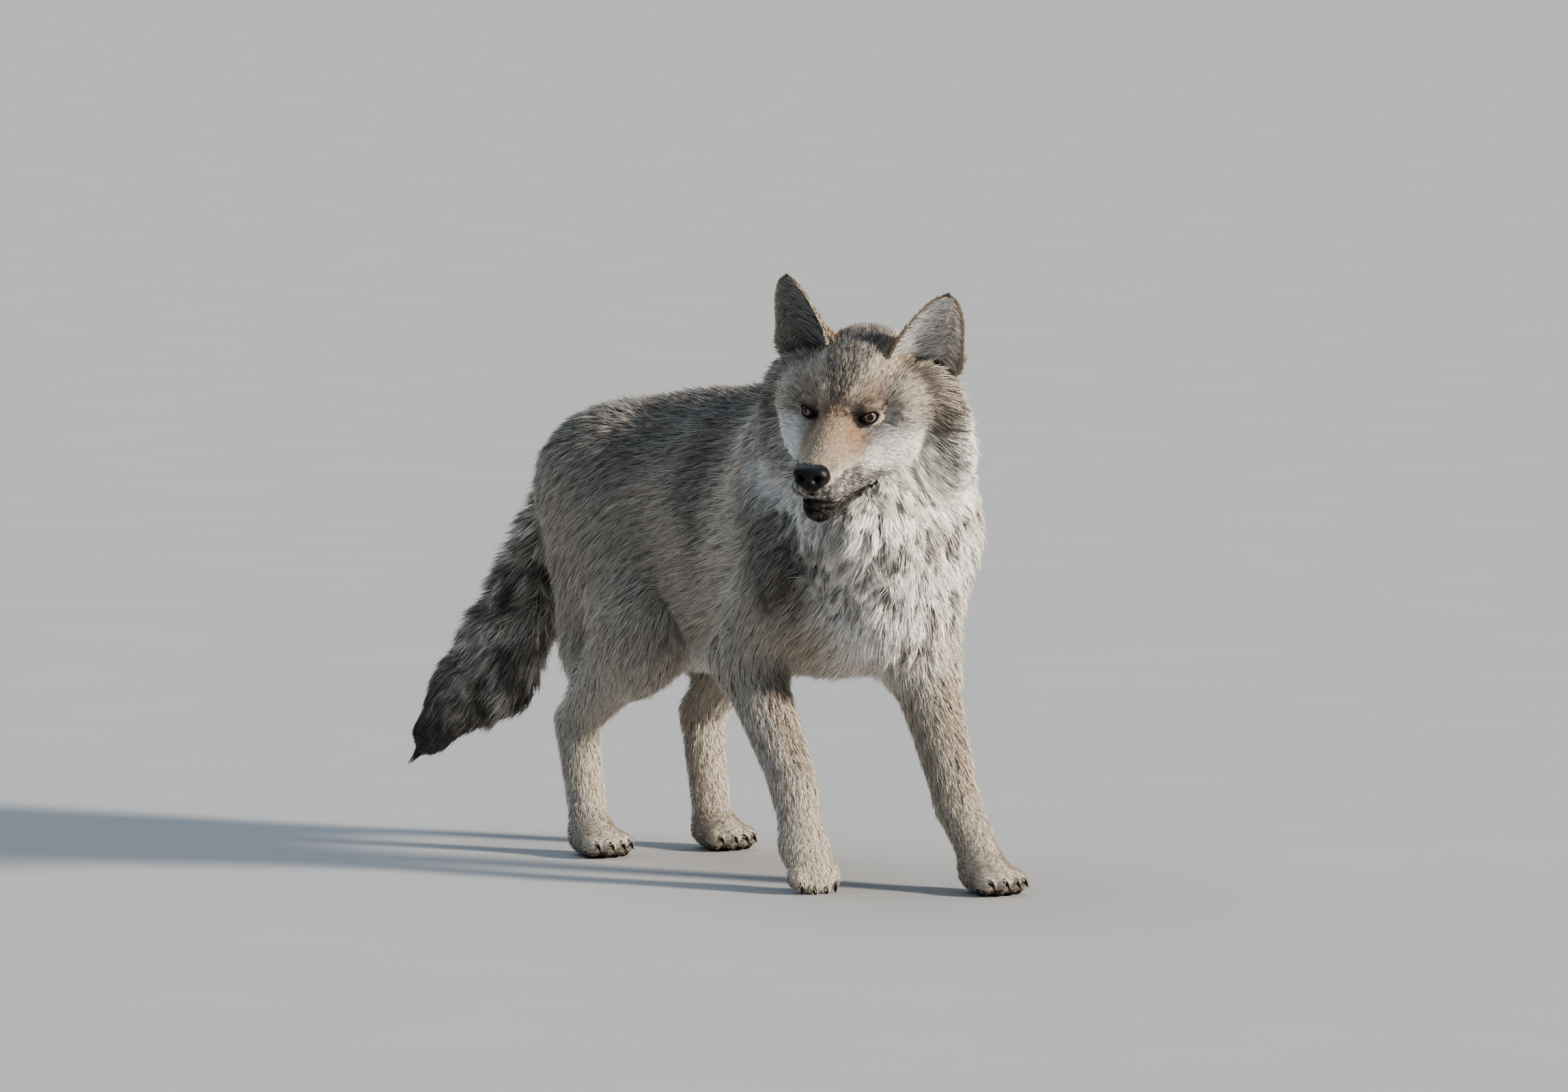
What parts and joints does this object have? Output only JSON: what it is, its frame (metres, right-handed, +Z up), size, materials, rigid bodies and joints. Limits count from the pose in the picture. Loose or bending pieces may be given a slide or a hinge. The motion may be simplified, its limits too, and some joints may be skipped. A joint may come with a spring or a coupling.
{
  "type": "wolf",
  "caption": "Life-size grey wolf standing in mid stride, head turned to its right, mouth closed, ears up, brush hanging.",
  "frame": {"origin": "on the floor under the middle of the animal's bounding box", "axes": "+X the way the wolf's body faces, +Y its left, +Z up"},
  "size_m": [1.1168, 0.4102, 0.8194],
  "materials": {
    "fur_body": "long grey and cream winter coat with dark tips",
    "fur_leg": "short cream coat",
    "fur_tail": "bushy dark grey coat",
    "fur_ear": "short tan-grey coat, pale hair inside",
    "fur_face": "short tan, grey and white coat",
    "nose_leather": "black grained leather of the nose, and the dark horn of the claws",
    "eye": "glossy amber-brown eyeball"
  },
  "bodies": {
    "root": {"paw_fore_left": "fur_leg", "paw_fore_right": "fur_leg", "paw_hind_left": "fur_leg", "paw_hind_right": "fur_leg", "forearm_left": "fur_leg", "forearm_right": "fur_leg", "shank_left": "fur_leg", "shank_right": "fur_leg", "tail": "fur_tail", "eye_left": "eye", "eye_right": "eye", "nose": "nose_leather", "ear_left": "fur_ear", "ear_right": "fur_ear", "lower_jaw": "fur_face", "muzzle": "fur_face", "head": "fur_face", "neck": "fur_body", "hindquarters": "fur_body", "loin": "fur_body", "chest": "fur_body"}
  },
  "joints": []
}
